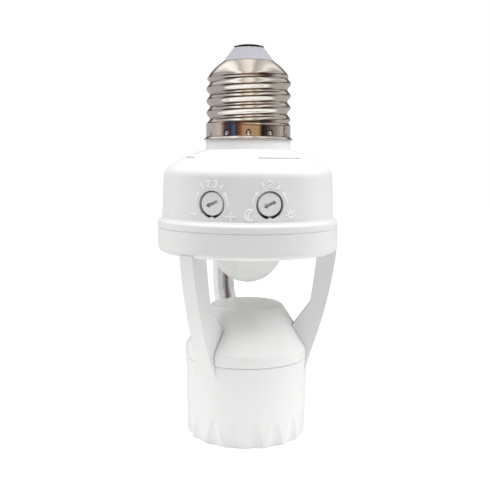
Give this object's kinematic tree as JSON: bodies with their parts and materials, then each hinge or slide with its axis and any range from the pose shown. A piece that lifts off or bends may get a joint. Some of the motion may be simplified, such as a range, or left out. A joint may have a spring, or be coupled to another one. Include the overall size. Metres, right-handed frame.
{
  "type": "motion sensor lamp holder",
  "caption": "Screw-in lamp holder with a domed motion sensor housing, two setting knobs, three legs and a socket in a fluted cup below.",
  "frame": {"origin": "centre of the cup's rim plane, the lowest face", "axes": "+Z along the axis from the lamp socket's mouth to the screw cap's contact; -Y is the front, midway between two legs, and the two setting knobs are on that side"},
  "size_m": [0.0564, 0.0564, 0.1221],
  "materials": {
    "white_plastic": "glossy white moulding",
    "cap_plastic": "glossy white moulding, a little flatter",
    "plate_plastic": "white moulding",
    "nose_plastic": "bluish white moulding",
    "nickel": "polished nickel plate",
    "contact_metal": "plain contact metal",
    "lens_plastic": "milky translucent plastic",
    "knob_plastic": "light grey plastic",
    "trimmer_plastic": "blue trimmer body",
    "board_green": "green solder mask",
    "screw_steel": "zinc plated steel",
    "can_metal": "nickel plated can",
    "window_dark": "dark infrared filter",
    "clear_resin": "clear resin",
    "relay_blue": "blue relay case",
    "capacitor_yellow": "yellow potted box",
    "capacitor_black": "black sleeve",
    "chip_black": "black epoxy",
    "diode_black": "black epoxy",
    "resistor_blue": "light blue lacquer",
    "core_plastic": "heat resistant white moulding",
    "socket_brass": "plated brass sheet",
    "leaf_brass": "spring brass",
    "wire_brown": "soft insulation",
    "wire_black": "soft insulation"
  },
  "bodies": {
    "holder": {"screw_shell": "nickel", "nose_insulator": "nose_plastic", "centre_contact": "contact_metal", "upper_housing": "white_plastic", "time_trimmer": "trimmer_plastic", "lux_trimmer": "trimmer_plastic", "lower_frame": "white_plastic", "socket_cap": "cap_plastic", "lens_plate": "plate_plastic", "lens": "lens_plastic", "lens_shroud": "plate_plastic", "circuit_board": "board_green", "board_screws": "screw_steel", "pir_sensor": "can_metal", "pir_window": "window_dark", "light_sensor": "clear_resin", "relay": "relay_blue", "film_capacitor": "capacitor_yellow", "main_capacitor": "capacitor_black", "control_chip": "chip_black", "rectifier_diodes": "diode_black", "resistors": "resistor_blue", "socket_core": "core_plastic", "bulb_screw_shell": "socket_brass", "shell_rivets": "socket_brass", "bulb_contact_leaf": "leaf_brass", "contact_rivet": "leaf_brass", "live_in_wire": "wire_brown", "neutral_in_wire": "wire_black", "live_out_wire": "wire_brown", "neutral_out_wire": "wire_black"},
    "time_knob": {"time_knob": "knob_plastic"},
    "lux_knob": {"lux_knob": "knob_plastic"},
    "contact_button": {"bulb_contact_button": "leaf_brass"}
  },
  "joints": [
    {"name": "time_knob_turn", "type": "hinge", "parent": "holder", "child": "time_knob", "pos_m": [-0.01679, -0.01757, 0.07444], "axis": [-0.6909, -0.723, 0], "range_deg": [-248, 22]},
    {"name": "lux_knob_turn", "type": "hinge", "parent": "holder", "child": "lux_knob", "pos_m": [-0.00288, -0.02413, 0.07444], "axis": [-0.1184, -0.993, 0], "range_deg": [-248, 22]},
    {"name": "contact_press", "type": "slide", "parent": "holder", "child": "contact_button", "axis": [0, 0, 1], "range_m": [0, 0.001], "stiffness_N_per_m": 2500, "deforming": ["bulb_contact_leaf"]}
  ]
}
